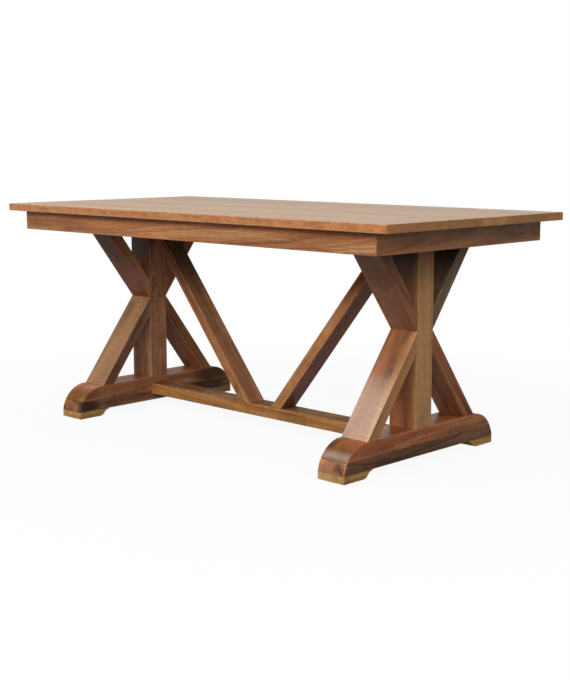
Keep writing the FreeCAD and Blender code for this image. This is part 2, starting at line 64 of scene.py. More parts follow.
# %% Wires
FIRST, SECOND, MIXED = 6, 7, 2        # the colour sockets of a Mix node, two in and one out


class Wire:
    """The output of a node, which can be fed to other nodes and used in sums."""

    def __init__(self, tree, socket=None):
        self.tree = tree
        self.socket = socket

    def add(self, kind, settings, feeds, out=0):
        """Adds a node, sets it up, feeds its sockets with values or Wires and gives back one output."""
        node = self.tree.nodes.new(kind)
        for name, setting in settings.items():
            if name == "stops":
                lay_stops(node.color_ramp.elements, setting)
            else:
                setattr(node, name, setting)
        for name, feed in feeds.items():
            if isinstance(feed, Wire):
                self.tree.links.new(feed.socket, node.inputs[name])
            else:
                node.inputs[name].default_value = feed
        return Wire(self.tree, node.outputs[out]) if node.outputs else None

    def also(self, out):
        """Another output of the same node."""
        return Wire(self.tree, self.socket.node.outputs[out])

    def maths(self, operation, first, second):
        return self.add("ShaderNodeMath", {"operation": operation}, {0: first, 1: second})

    def __add__(self, other):
        return self.maths("ADD", self, other)

    __radd__ = __add__

    def __mul__(self, other):
        return self.maths("MULTIPLY", self, other)

    __rmul__ = __mul__

    def __sub__(self, other):
        return self.maths("SUBTRACT", self, other)

    def __rsub__(self, other):
        return self.maths("SUBTRACT", other, self)

    def __abs__(self):
        return self.maths("ABSOLUTE", self, 0)

    def larger(self, other):
        return self.maths("MAXIMUM", self, other)

    def step(self, low, high):
        """0 below low and 1 above high, with a soft step between. It falls where low is above high."""
        settings = {"interpolation_type": "SMOOTHSTEP"}
        return self.add("ShaderNodeMapRange", settings, {"Value": self, "From Min": low, "From Max": high})

    def tint(self, first, second):
        """A colour from first to second, with this Wire as the factor."""
        settings = {"data_type": "RGBA"}
        return self.add("ShaderNodeMix", settings, {0: self, FIRST: first, SECOND: second}, MIXED)

    def stain_and_shade(self, shade, shares):
        """A colour with its red, green and blue times three shares, with this Wire as the factor."""
        settings = {"data_type": "RGBA", "blend_type": "MULTIPLY"}
        return self.add("ShaderNodeMix", settings, {0: self, FIRST: shade, SECOND: (*shares, 1)}, MIXED)

    def vector(self, operation, other, out=0):
        return self.add("ShaderNodeVectorMath", {"operation": operation}, {0: self, 1: other}, out)

    def length(self):
        return self.vector("LENGTH", (0, 0, 0), "Value")

    def noise(self, stretch, detail=2.0, roughness=0.5):
        """Noise at this place, with so many waves to a metre along each direction."""
        feeds = {"Vector": self.vector("MULTIPLY", stretch), "Scale": 1.0, "Detail": detail}
        return self.add("ShaderNodeTexNoise", {}, feeds | {"Roughness": roughness})

    def waves(self, detail=2.0, roughness=0.6):
        """Noise along one number."""
        feeds = {"W": self, "Scale": 1.0, "Detail": detail, "Roughness": roughness}
        return self.add("ShaderNodeTexNoise", {"noise_dimensions": "1D"}, feeds)


def lay_stops(elements, stops):
    """Sets a ramp's stops, pairs of a place and a colour."""
    while len(elements) < len(stops):
        elements.new(1.0)
    for element, (place, shade) in zip(elements, stops):
        element.position = place
        element.color = shade


print("a Wire can", [name for name in vars(Wire) if not name.startswith("_")])

# %% [markdown]
# ## How each piece lies in the log
# A sawyer thinks of a piece by its grain: along it, across its broad face, and through it. Texture
# coordinates could come from an unwrapped map, but then the figure would break at every edge. Here each
# piece has a frame of its own in metres, so the wood is solid and an edge shows the same plank from two
# sides. The slanting braces run along the diagonal of their boxes, because their cut ends are sharp at
# those corners.

# %% How each piece lies in the log
X, Y, Z = Vector((1, 0, 0)), Vector((0, 1, 0)), Vector((0, 0, 1))


def slant(piece, flat, falls):
    """The way up along a slanting piece, which leans over a flat direction, back where it falls."""
    low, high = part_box(piece)
    run = high - low
    return (flat * run.dot(flat) * (-1 if falls else 1) + Z * run.z).normalized()


def grain_of(piece):
    """Directions along the grain of a piece and across its broad face."""
    if piece.startswith(("top_board", "apron_front", "apron_back", "stretcher")):
        return X, (Z if piece.startswith("apron") else Y)
    if piece.startswith(("apron", "head_beam", "foot")):
        return Y, (Z if piece.startswith("apron") else X)
    if piece.startswith("post"):
        return Z, X
    if piece.startswith("long_brace_") and "tenons" not in piece:
        return slant(piece, X, piece.endswith("left")), Y
    if piece.startswith("brace_") and "tenons" not in piece:
        return slant(piece, Y, ("front" in piece) == ("upper" in piece)), X
    if piece.startswith("corner_block"):
        return (X + Y if piece.endswith(("back_left", "front_right")) else X - Y).normalized(), Z
    return X, Y


class Board:
    """A piece with its frame in the log: its turn, its middle and half its length, width and thickness."""

    def __init__(self, piece):
        along, across = grain_of(piece)
        self.piece = piece
        self.along = along
        self.across = across
        self.face = along.cross(across)
        self.turn = Matrix((along, across, self.face))
        places = [self.turn @ corner.co for corner in planks[piece].data.vertices]
        low = Vector(map(min, zip(*places)))
        high = Vector(map(max, zip(*places)))
        self.middle = (low + high) / 2
        self.half = (high - low) / 2


boards = {piece: Board(piece) for piece in planks if not piece.endswith("screws")}
for piece in ("top_board_3", "post_right", "brace_right_front_lower", "long_brace_left"):
    size = [round(2000 * part) for part in boards[piece].half]
    print(piece, "is a plank of", size, "mm along, across and through")

# %% [markdown]
# ## Fibres that wander
# A tree never grows quite straight, so fibres sway to the side as they run along a plank. Every figure
# could get a sway of its own, but in real wood bands, streaks and pores all follow the same fibres. So
# the place is bent once, and the figure is drawn in the bent place. Each plank starts at another spot in
# the log, which keeps any two from looking alike.

# %% Fibres that wander
WANDER = 0.055        # how far fibres can sway, in metres
SWAYS = (1.5, 5, 5)   # sways to a metre along, across and through
NEXT_SPOT = Vector((0.93, 0.57, 0.31))        # way in the log from one plank to the next, in metres


def new_finish(name):
    """A new material with an empty node tree, and a Wire to start from."""
    material = bpy.data.materials.new(name)
    material.use_nodes = True
    material.node_tree.nodes.clear()
    return material, Wire(material.node_tree)


class Sawn:
    """Wood in the making: the places in a plank, their spots in the log, and the way its faces look."""

    def __init__(self, board, seed):
        self.board = board
        self.material, self.wire = new_finish(board.piece + "_wood")
        rest = self.wire.add("ShaderNodeTexCoord", {}, {}, "Object")
        feeds = {"Vector": rest, "Location": -board.middle, "Rotation": board.turn.to_euler()}
        self.place = self.wire.add("ShaderNodeMapping", {"vector_type": "POINT"}, feeds)
        self.along = self.wire.add("ShaderNodeSeparateXYZ", {}, {"Vector": self.place})
        self.across, self.through = self.along.also("Y"), self.along.also("Z")
        self.start = NEXT_SPOT * seed
        straight = self.place.vector("ADD", self.start)
        sway = straight.noise(SWAYS, 2.0).also("Color").vector("SUBTRACT", (0.5, 0.5, 0.5))
        self.log = straight.vector("ADD", sway.vector("MULTIPLY", (0, WANDER, WANDER)))
        self.normal = self.wire.add("ShaderNodeNewGeometry", {}, {}, "Normal")

    def looks(self, way):
        """How far a face looks a way, from -1 to 1."""
        return self.normal.vector("DOT_PRODUCT", tuple(way), "Value")


print("fibres sway by up to about", round(0.25 * WANDER * 1000), "mm")

# %% [markdown]
# ## Growth bands and knots
# The bands are layers that the tree grew around its heart. Blender's Wave texture has rings, but their
# even spacing looks printed. Noise along the distance from the heart gives wide and narrow bands, as
# years do. The heart line lies beside the plank and slopes a little, so the bands run out of a broad face
# as pointed arches. A knot is where a branch grew through: it is dark in the middle, and the bands bow
# around it. A swirl is the same without the dark middle, where the saw only passed near a branch.

# %% Growth bands and knots
BANDS = 58            # growth bands to a metre out from the heart
BOW = 0.030           # how far the bands bow around a knot, in metres
BOW_REACH = 7         # how far they bow, in sizes of the knot
KNOT_CORE = 0.3       # how far a knot is all there, in its sizes


def near(sawn, knot, reach):
    """1 in a knot's core and 0 at so many of its sizes away.

    A knot is its place along, across and through, its size and its darkness. It is longer along the grain,
    and goes right across or through the plank where that place is None.
    """
    along, across, through, size = knot[:4]
    ways = (0.5, 0 if across is None else 1, 0 if through is None else 1)
    away = sawn.place.vector("SUBTRACT", (along, across or 0, through or 0)).vector("MULTIPLY", ways)
    return away.length().step(reach * size, KNOT_CORE * size)


def growth(sawn, heart, slope, knots):
    """Growth bands as light and dark, from about 0.25 to 0.75. heart lies across and through the plank."""
    off = sawn.log.vector("SUBTRACT", sawn.start + Vector((0, *heart))).vector("MULTIPLY", (0, 1, 1))
    radius = off.length() + slope * sawn.along
    for knot in knots:
        radius = radius + BOW * near(sawn, knot, BOW_REACH)
    return (BANDS * radius).waves(5.0, 0.72)


print("a band is about", round(1000 / BANDS), "mm wide")

# %% [markdown]
# ## Cut ends, rubbed edges and glue lines
# Cut ends drink more lacquer than faces do. The edges get a pale strip, partly rubbed by hands and cloths
# and partly a painted highlight where light catches the arris. Where two boards meet there is a hair of
# shadow, and a plank from under the bark is pale along one side. All of it could be painted by hand on a
# map, but the plank's own frame already knows where its ends and edges are: near an edge both the way to
# the side and the way to the face are short.

# %% Cut ends, rubbed edges and glue lines
EDGE_STRIP = 0.006        # width of the pale strip along an edge, rubbed wear and painted highlight, in metres
SEAM = 0.0014         # width of a glue line's shadow, in metres
SAP_DEPTH = 0.014     # how far sapwood reaches in from its side, in metres
SAP_RAGGED = 0.02     # how ragged its inner border is, in metres
SQUARE_ON = (0.6, 0.9)        # how far a face looks a way where it starts to count and where it fully does


def cut_end(sawn):
    return abs(sawn.looks(sawn.board.along)).step(0.2, 0.7)


def facing(sawn, way):
    """1 on the two faces of a plank that look a way or its opposite."""
    return abs(sawn.looks(way)).step(*SQUARE_ON)


def sapwood(sawn):
    """Young pale wood, which lies along one side of a plank cut near the bark."""
    ragged = sawn.across + SAP_RAGGED * sawn.log.noise((2, 20, 20))
    return ragged.step(sawn.board.half.y - SAP_DEPTH, sawn.board.half.y - SAP_DEPTH + SAP_RAGGED)


# A pale strip along the long edges: partly rubbed wear, partly a painted highlight where light catches the
# arris.
def worn_and_glinting_edge(sawn):
    to_side = sawn.board.half.y - abs(sawn.across)
    to_face = sawn.board.half.z - abs(sawn.through)
    return to_side.larger(to_face).step(EDGE_STRIP, 0.0) * sawn.log.noise((30, 60, 60)).step(0.35, 0.65)


def board_line(sawn):
    """A glue line along both sides of the broad faces."""
    to_side = sawn.board.half.y - abs(sawn.across)
    return to_side.step(SEAM, 0.0) * facing(sawn, sawn.board.face)


def layer_line(sawn, side):
    """A glue line around the edge of the broad face on one side, 1 or -1, where another layer lies on it."""
    to_face = sawn.board.half.z - side * sawn.through
    return to_face.step(1.5 * SEAM, 0.0) * (1 - facing(sawn, sawn.board.face))


# the pale edge strips are rubbed wear and a painted highlight
print("rubbed strips are", 1000 * EDGE_STRIP, "mm wide, glue lines", 1000 * SEAM, "mm")

# %% [markdown]
# ## Paint shop
# Stains and lacquers are known by how they look, as numbers from 0 to 255. Blender reckons in linear
# light, in which such a number would come out far too pale. Colours could be turned by hand, but then
# nobody knows them again, so they are written the paint shop's way and turned here.

# %% Paint shop
def colour(red, green, blue):
    """A colour written from 0 to 255, as Blender's linear light."""
    def linear(part):
        share = part / 255
        return share / 12.92 if share <= 0.04045 else ((share + 0.055) / 1.055) ** 2.4
    return (linear(red), linear(green), linear(blue), 1.0)


def deeper(shade, share):
    """A colour with a share of its light, or with more than it had where the share is above 1."""
    return tuple(share * part for part in shade[:3]) + (1.0,)


print("a mid brown in linear light:", [round(part, 3) for part in colour(150, 105, 70)])

# %% [markdown]
# ## Saw marks
# The outer faces of the lower front braces still show the saw: fine lines across the grain, a little
# bent, and paler wood where the blade left it rough. That paler wood is partly a painted sheen, the pale
# reflection of the light on the rough face. Real grooves would need a very fine mesh. Lines in the colour,
# the roughness and the bump are enough, as they are a fraction of a millimetre deep.

# %% Saw marks
TEETH = 112           # saw lines to a metre
LINE_SLANT = 0.05     # how far a line leans along the plank, for its way across
LINE_BEND = 0.012     # how far it bends, in metres
LINE_FADE = 0.005     # how far from a side it is full, in metres
RASP_RAGGED = 0.015   # how ragged the upper end of the rough wood is, in metres
# pale rough wood, partly a painted sheen of the light on the rasped face
ROUGH_WOOD_AND_SHEEN = colour(194, 158, 122)


def sawn_face(sawn, face, lowest, highest):
    """1 on a face that looks out, below a height along the plank, fading at the ragged upper end."""
    ragged = sawn.along + RASP_RAGGED * sawn.log.noise((9, 25, 25))
    return sawn.looks(face).step(0.75, 0.9) * ragged.step(highest, lowest)


def saw_lines(sawn):
    """Even lines, broken up where the blade ran lighter, and fading at the edges of the face."""
    bent = sawn.along + LINE_SLANT * sawn.across + LINE_BEND * sawn.place.noise((7, 12, 12))
    broken = sawn.place.noise((90, 20, 20), 2.0).step(0.36, 0.6)
    inner = (sawn.board.half.y - abs(sawn.across)).step(0.0, LINE_FADE)
    return sawn.wire.maths("SINE", math.tau * TEETH * bent, 0).step(0.0, 1.0) * broken * inner


print("saw lines are about", round(1000 / TEETH, 1), "mm apart")

# %% [markdown]
# ## Figure and colour
# The wood is warm and lively. Its figure is growth bands, with stripes and fibres along them and a ripple
# across them, and a ramp turns that into dark, middle and pale wood. Over it lie a slow drift to a second
# hue, smoky patches, dark mineral streaks, sapwood, knots and short pores. One texture could hold all of
# it, but laid over each other, each of them can be set for every plank.

# %% Figure and colour
BANDS_SHARE = 0.42    # what growth bands add to the figure
STRIPES_SHARE = 0.26  # what stripes along the fibres add
FIBRE_SHARE = 0.18    # what single fibres add
LIFT = 0.07           # brings the middle of the figure to one half
END_CALM = 0.6        # share of the bands that cut ends lose
SPREAD = 0.125        # way from middle to dark or pale wood in the figure, on a plank as lively as 1
SMOKE = colour(84, 66, 50)
KNOT_REACH = 1.2      # how far from its middle a knot is dark, in its sizes
STREAK_LIGHT = 0.35   # light that streaks, knots and pores keep of the dark wood's
KNOT_LIGHT = 0.22
PORE_LIGHT = 0.4
PORE_SHARE = 0.30     # how much of a pore shows


def figure_of(sawn, habit, fibre, end):
    """Light and dark in a plank, around one half."""
    bands = growth(sawn, habit["heart"], habit["slope"], habit["knots"])
    bands = bands - END_CALM * end * (bands - 0.5)
    stripes = sawn.log.noise((2.6, 32, 32), 3.0, 0.6)
    ripple = sawn.log.noise((44, 13, 13), 2.0)
    figure = BANDS_SHARE * bands + STRIPES_SHARE * stripes + FIBRE_SHARE * fibre + LIFT
    return figure + habit["ripple"] * (ripple - 0.5)


def grained(figure, shades, spread):
    """The colour of a figure, from dark through middle to pale."""
    dark, middle, pale = shades[:3]
    stops = [(0.5 - spread, dark), (0.5, middle), (0.5 + spread, pale)]
    return figure.add("ShaderNodeValToRGB", {"stops": stops}, {"Fac": figure})


def bare_wood(sawn, habit, shades, figure, pores):
    """The colour of a plank before its stain and painted shade. Its shades are dark, middle, pale and a
    second hue.
    """
    log, depth = sawn.log, habit["depth"]
    dark, second = shades[0], shades[3]
    spread = SPREAD / habit["lively"]
    shade = grained(figure, shades, spread)
    drift = log.noise((0.8, 10, 10), 1.0).step(0.42, 0.62)
    shade = (habit["blush"] * drift).tint(shade, second)
    smoke = log.noise((3.5, 16, 16), 2.0).step(0.52, 0.72)
    shade = (habit["smoke"] * smoke).tint(shade, deeper(SMOKE, depth))
    streak = log.noise((2.2, 26, 26), 3.0).step(0.54, 0.72)
    shade = (habit["streaks"] * streak).tint(shade, deeper(dark, STREAK_LIGHT))
    if habit["sap"]:
        young = [deeper(part, depth) for part in habit["sap"]]
        shade = sapwood(sawn).tint(shade, grained(figure, young, spread))
    for knot in habit["knots"]:
        shade = (knot[4] * near(sawn, knot, KNOT_REACH)).tint(shade, deeper(dark, KNOT_LIGHT))
    return (PORE_SHARE * pores).tint(shade, deeper(dark, PORE_LIGHT))


print("bands, stripes and fibres share the figure as", BANDS_SHARE, STRIPES_SHARE, FIBRE_SHARE)

# %% [markdown]
# ## Stain, wear and painted shade
# Wood doesn't take stain evenly. Cut ends come out darker or paler than the tone of a plank, and the long
# edges of the top are blotchy. Sides and faces get shares of their own: stain on the top boards, and painted
# light and shade on the planks where one face gets more light than another. Wood up under the top is
# darkened as painted shade, where the top shades it. Edges get a pale strip, partly rubbed wear and partly
# a painted highlight, and glue lines gather dirt. More tones could be mixed for all that, but then the
# figure would change with them. So each of these is a mask with shares of red, green and blue, and the
# figure shows through it.

# %% Stain and wear
UNDER_TOP_SHADE = (0.28, 0.45, 0.7)      # painted shade: shares that wood up under the top keeps, where the top shades it
EDGE_WEAR_AND_GLINT = 0.6       # how pale an edge gets, from rubbing and a painted highlight
LAYER_SHARE = 0.7     # how dark the glue line between two layers gets
GLUE_LIGHT = 0.3      # light that a glue line keeps of the dark wood's


def stained_and_shaded(sawn, habit, shade, end):
    """Stained ends and blotches, sides and faces tinted by their shares, and painted shade under the top."""
    board = sawn.board
    shade = end.stain_and_shade(shade, habit["ends"])
    for part, way in (("sides", board.across), ("faces", board.face)):
        if habit[part]:
            shade = facing(sawn, way).stain_and_shade(shade, habit[part])
    if habit["blotch"]:
        blotches = sawn.log.noise((32, 64, 64), 4.0, 0.75).step(0.38, 0.64)
        shade = (facing(sawn, board.across) * blotches).stain_and_shade(shade, habit["blotch"])
    # painted shade: darkens the upper end of a plank under the top, where the top shades it
    if habit["soot"]:
        low, high, all_round = habit["soot"]
        sooty = sawn.along.step(low, high)
        if not all_round:
            sooty = sooty * sawn.looks(-board.face).step(*SQUARE_ON)
        shade = sooty.stain_and_shade(shade, UNDER_TOP_SHADE)
    return shade


def worn_and_glinting(sawn, habit, shades, shade, edge_wear_and_glint):
    """A colour with pale edges, rubbed and with a painted highlight, and glue lines."""
    dark, pale = shades[0], shades[2]
    shade = (EDGE_WEAR_AND_GLINT * edge_wear_and_glint).tint(shade, pale)
    if habit["seams"]:
        shade = (habit["seams"] * board_line(sawn)).tint(shade, deeper(dark, GLUE_LIGHT))
    if habit["layer"]:
        line = LAYER_SHARE * layer_line(sawn, habit["layer"])
        shade = line.tint(shade, deeper(dark, GLUE_LIGHT))
    return shade


# the shares of red, green and blue that the painted shade under the top keeps
print("darkened wood keeps", UNDER_TOP_SHADE, "of its red, green and blue")

# %% [markdown]
# ## Lacquer
# The lacquer is satin and thin, so fibres and pores still show in it. A clear coat on everything would be
# the plain way, but it makes all pieces equally shiny. Here the sheen is a low specular level with a
# roughness that follows the fibres, cut ends are duller, and only what was polished more has a clear
# coat, on the side that looks one way. A plank's habits say what it has of all this.

# %% Lacquer
PLAIN = {
    # light of its tone, and contrast of its figure
    "depth": 1.0, "lively": 1.4,
    # place of its heart line across and through it, slope of its bands, and its knots
    "heart": (0.02, -0.06), "slope": 0.05, "knots": (),
    # shares of the second hue, streaks, smoke and ripple, and the tone of its sapwood
    "blush": 0.5, "streaks": 0.35, "smoke": 0.4, "ripple": 0.09, "sap": None,
    # shares for its ends, sides, faces and side blotches: stain, with painted light and shade on some sides
    # and faces
    "ends": (0.9, 0.86, 0.76), "sides": None, "faces": None, "blotch": None,
    # where along it the painted shade under the top starts and is full, and whether it goes all round
    "soot": None,
    # darkness of the glue lines along its sides, and the face that another layer lies on, 1 or -1
    "seams": 0.0, "layer": 0,
    # shares of pale rough wood with its painted sheen and of saw lines, and where along it they fade and are
    # gone
    "saw": None,
    # specular level, and the way that its polished side looks
    "gloss": 0.13, "polish": None,
}
SATIN = 0.33          # roughness of the lacquer, and below it what parts of a plank add to that
FIBRE_DULL = 0.12
END_DULL = 0.25
RUB_DULL = 0.10
RASP_DULL = 0.12
POLISHED = 0.26       # roughness of a polished coat
RELIEF = 0.0004       # depth of a pore in metres, and below it what fibres and saw lines have of that
FIBRE_HEIGHT = 0.5
LINE_DEPTH = 1.5
RELIEF_SHOWN = 0.3    # how much of the relief the lacquer leaves
LINE_LIGHT = 0.75     # light that saw lines keep of the dark wood's


def wood(board, seed, habit):
    """Lacquered wood for one plank, with its habits."""
    sawn = Sawn(board, seed)
    wire, log = sawn.wire, sawn.log
    shades = [deeper(part, habit["depth"]) for part in habit["tone"]]
    end = cut_end(sawn)
    edge_wear_and_glint = worn_and_glinting_edge(sawn)
    fibre = log.noise((9, 360, 360), 3.0, 0.65)
    pores = log.noise((50, 1200, 1200), 0.0).step(0.62, 0.72)
    figure = figure_of(sawn, habit, fibre, end)
    shade = bare_wood(sawn, habit, shades, figure, pores)
    shade = stained_and_shaded(sawn, habit, shade, end)
    shade = worn_and_glinting(sawn, habit, shades, shade, edge_wear_and_glint)
    rough = SATIN + FIBRE_DULL * fibre + END_DULL * end + RUB_DULL * edge_wear_and_glint
    relief = FIBRE_HEIGHT * fibre - pores
    if habit["saw"]:
        rough_and_sheen, marks, *reach = habit["saw"]
        rasped_and_sheen = sawn_face(sawn, -board.face, *reach)
        lines = rasped_and_sheen * saw_lines(sawn)
        # pale rough wood, partly a painted sheen
        shade = (rough_and_sheen * rasped_and_sheen).tint(shade, ROUGH_WOOD_AND_SHEEN)
        shade = (marks * lines).tint(shade, deeper(shades[0], LINE_LIGHT))
        rough = rough + RASP_DULL * rasped_and_sheen
        relief = relief - LINE_DEPTH * lines
    feeds = {"Strength": RELIEF_SHOWN, "Distance": RELIEF, "Height": relief}
    bump = wire.add("ShaderNodeBump", {}, feeds)
    feeds = {"Base Color": shade, "Roughness": rough, "Normal": bump, "Specular IOR Level": habit["gloss"]}
    if habit["polish"]:
        coat = sawn.looks(habit["polish"]).step(0.3, 0.8)
        feeds |= {"Coat Weight": coat, "Coat Roughness": POLISHED}
    surface = wire.add("ShaderNodeBsdfPrincipled", {}, feeds)
    wire.add("ShaderNodeOutputMaterial", {}, {"Surface": surface})
    return sawn.material


print("a plain plank:", PLAIN)

# %% [markdown]
# ## Tones of the families
# Pieces that do the same work were cut from like planks. The boards of the top and the pads are pale, the
# aprons orange, the posts chestnut, the braces brown, the upper layers of the feet red and the lower ones
# dark with black streaks. A random hue for every piece would be quicker, but a maker picks the planks, so
# each family has its tone written down.

# %% Tones of the families
def tone(dark, middle, pale, second):
    return [colour(*part) for part in (dark, middle, pale, second)]


CHESTNUT = tone((116, 72, 48), (182, 124, 88), (208, 156, 112), (168, 106, 72))
HIDDEN = tone((112, 78, 50), (154, 114, 76), (184, 146, 104), (146, 100, 64))
LOOSE = tone((140, 104, 70), (180, 144, 104), (204, 172, 132), (176, 132, 90))
FAMILIES = {
    "top_board": {
        "tone": tone((140, 96, 52), (180, 134, 80), (204, 164, 110), (188, 136, 76)),
        "gloss": 0.58, "seams": 0.7, "lively": 1.1, "streaks": 0.2, "smoke": 0.15, "ripple": 0.06,
        "ends": (0.75, 0.63, 0.53), "sides": (1.12, 0.85, 0.79), "blotch": (0.68, 0.62, 0.6)},
    "apron": {
        "tone": tone((118, 72, 44), (168, 114, 74), (202, 150, 106), (186, 114, 68)),
        "lively": 1.2, "streaks": 0.25, "smoke": 0.2},
    "post": {"tone": CHESTNUT},
    "brace": {"tone": tone((118, 72, 46), (176, 118, 78), (202, 150, 106), (168, 100, 64))},
    "foot_upper": {
        "tone": tone((126, 72, 46), (184, 118, 78), (206, 146, 102), (176, 100, 64)),
        "gloss": 0.06, "layer": 1},
    # the ends share lifts the rounded noses: partly pale end grain, partly a painted highlight
    "foot_lower": {
        "tone": tone((70, 47, 34), (126, 88, 62), (156, 112, 80), (104, 68, 47)),
        "gloss": 0.06, "layer": -1, "streaks": 0.8, "smoke": 0.6, "ends": (2.35, 2.4, 2.45)},
    "foot_pad": {
        "tone": tone((166, 118, 68), (214, 164, 104), (232, 186, 128), (204, 148, 92)),
        "gloss": 0.05, "layer": -1, "ends": (1, 1, 1)},
    "long_brace": {
        "tone": tone((120, 75, 46), (176, 122, 80), (206, 156, 108), (168, 104, 65)),
        "gloss": 0.09, "lively": 1.15},
    # painted light and shade: the faces share darkens its top and bottom, the sides share lightens its front
    # and back
    "stretcher": {
        "tone": tone((122, 78, 45), (172, 122, 74), (202, 154, 102), (162, 108, 62)),
        "gloss": 0.005, "lively": 1.1, "faces": (0.7, 0.68, 0.74), "sides": (1.24, 1.18, 1.1)},
    "head_beam": {"tone": HIDDEN},
    "corner_block": {"tone": HIDDEN},
    "brace_tenons": {"tone": LOOSE},
    "long_brace_tenons": {"tone": LOOSE},
}
print("families:", ", ".join(FAMILIES))

# %% [markdown]
# ## Planks of their own kind
# No two planks are cut from the same part of a tree. One board of the top shows long arches and the next
# runs straight, one post has a side of pale sapwood and the other two small knots, and the upper layers
# of the feet have dark ends. Noise alone would spread such things anywhere. Here they are written down
# for the planks that have them, and what isn't written comes from the family and then from the plain
# plank.

# %% Planks of their own kind
OLIVE_BROWN = tone((96, 74, 54), (150, 120, 92), (176, 148, 116), (140, 104, 74))
YELLOW_BROWN = tone((122, 82, 52), (176, 130, 90), (204, 162, 118), (170, 112, 70))
RED_BROWN = tone((124, 72, 48), (192, 124, 84), (214, 156, 112), (178, 106, 70))
DULL_BROWN = tone((118, 74, 50), (176, 121, 86), (202, 154, 116), (168, 103, 70))
OLIVE_TAN = tone((156, 106, 64), (202, 150, 99), (216, 168, 119), (190, 146, 97))
OWN = {
    "top_board_1": {
        "heart": (0.15, -0.02), "slope": 0.01, "lively": 1.9, "ripple": 0.08, "blush": 0.7, "smoke": 0.3},
    "top_board_2": {"heart": (-0.02, -0.05), "slope": 0.016, "depth": 0.93},
    "top_board_3": {"heart": (0.03, -0.04), "slope": 0.014, "depth": 1.05, "ends": (0.68, 0.62, 0.52)},
    "top_board_4": {"heart": (-0.16, -0.03), "slope": 0.01, "depth": 0.88, "ends": (0.74, 0.62, 0.52)},
    "top_board_5": {"heart": (0.01, -0.05), "slope": -0.016, "depth": 1.06, "ends": (0.86, 0.82, 0.70)},
    "top_board_6": {"heart": (0.12, -0.05), "slope": 0.01, "depth": 0.95},
    "top_board_7": {"heart": (-0.03, -0.04), "slope": 0.018, "depth": 0.90},
    "top_board_8": {"heart": (-0.14, -0.02), "slope": -0.01},
    "apron_front": {"heart": (0.035, -0.05), "slope": 0.045, "lively": 1.5, "ripple": 0.04, "depth": 1.04},
    "apron_right_end": {"depth": 0.85},
    "post_right": {
        "tone": RED_BROWN, "sap": OLIVE_TAN, "streaks": 0.6, "smoke": 0.25, "gloss": 0.08, "lively": 0.9,
        "soot": (0.06, 0.26, False), "faces": (1.14, 1.2, 1.2)},
    "post_left": {
        "lively": 1.5, "slope": 0.09, "soot": (0.11, 0.24, False),
        "knots": ((0.09, None, -0.025, 0.006, 0.7), (0.045, None, -0.022, 0.005, 0.7))},
    "brace_right_front_lower": {
        "saw": (0.28, 0.36, 0.02, 0.045), "polish": (0, -0.8, 0.6), "sap": OLIVE_TAN, "blush": 0.7,
        "lively": 1.3, "gloss": 0.06, "depth": 1.02, "sides": (0.86, 0.79, 0.75), "smoke": 0.5},
    "brace_right_front_upper": {
        "lively": 2.3, "depth": 0.8, "slope": 0.06, "heart": (0.0, -0.06), "smoke": 0.1, "blush": 0.6,
        "streaks": 0.2, "knots": ((0.045, 0.0, None, 0.009, 0.4), (0.045, 0.0, None, 0.014, 0.0))},
    "brace_right_back_lower": {"depth": 0.92, "smoke": 0.8, "streaks": 0.9, "gloss": 0.06},
    "brace_right_back_upper": {"tone": OLIVE_BROWN, "soot": (-0.08, 0.1, False)},
    "brace_left_front_lower": {
        "tone": YELLOW_BROWN, "depth": 0.93, "saw": (0.25, 0.16, 0.05, 0.15), "sides": (0.66, 0.62, 0.8)},
    # painted light: the sides share lifts its sides, which lie in the shade under the top
    "brace_left_front_upper": {
        "tone": DULL_BROWN, "depth": 0.68, "gloss": 0.05, "sides": (1.95, 2.25, 2.6),
        "faces": (1.02, 0.77, 0.67)},
    "brace_left_back_lower": {"depth": 0.95, "gloss": 0.02},
    "brace_left_back_upper": {"soot": (-0.08, 0.1, False)},
    # painted shade: the faces share darkens the top of the foot, which gets less light from above
    "foot_upper_right": {
        "polish": (0, -0.9, 0.44), "ends": (0.52, 0.62, 0.54), "smoke": 0.75, "depth": 1.12, "lively": 1.2,
        "faces": (0.8, 0.75, 0.65)},
    "foot_upper_left": {
        "tone": CHESTNUT, "depth": 1.17, "ends": (0.56, 0.56, 0.4), "smoke": 0.7,
        "knots": ((0.27, 0.052, None, 0.06, 0.8),)},
    "foot_lower_left": {
        "depth": 1.75, "ends": (0.9, 0.81, 0.76),
        "knots": ((-0.335, 0.052, None, 0.03, 0.75), (0.25, 0.052, None, 0.06, 0.8))},
    "foot_lower_right": {"knots": ((-0.36, 0.02, 0.0, 0.018, 0.5),)},
    # painted shade: a lower depth for this pad, which stands in the table's shade
    "foot_pad_left_back": {"depth": 0.6},
    "foot_pad_left_front": {"depth": 1.2, "ends": (0.86, 0.82, 0.8)},
    "foot_pad_right_front": {"depth": 0.85, "ends": (1.16, 1.18, 1.26)},
    "foot_pad_right_back": {"depth": 1.12},
    # painted shade on its broad faces, the lower of which looks down into shade, and painted light on its
    # sides
    "long_brace_right": {
        "soot": (0.15, 0.4, True), "depth": 1.15, "gloss": 0.04, "sides": (1.1, 1.1, 1.1),
        "faces": (0.64, 0.52, 0.64)},
    "long_brace_left": {
        "soot": (-0.03, 0.24, False), "faces": (1.18, 1.24, 1.38),
        "knots": ((-0.34, None, 0.004, 0.010, 0.5),)},
}


def dress(piece, material):
    """Gives a piece of the table its material."""
    planks[piece].data.materials.clear()
    planks[piece].data.materials.append(material)


for seed, (piece, board) in enumerate(sorted(boards.items()), 1):
    family = max((name for name in FAMILIES if piece.startswith(name)), key=len)
    dress(piece, wood(board, seed, PLAIN | FAMILIES[family] | OWN.get(piece, {})))
print("dressed", len(boards), "planks in", len(FAMILIES), "families,", len(OWN), "of their own kind")

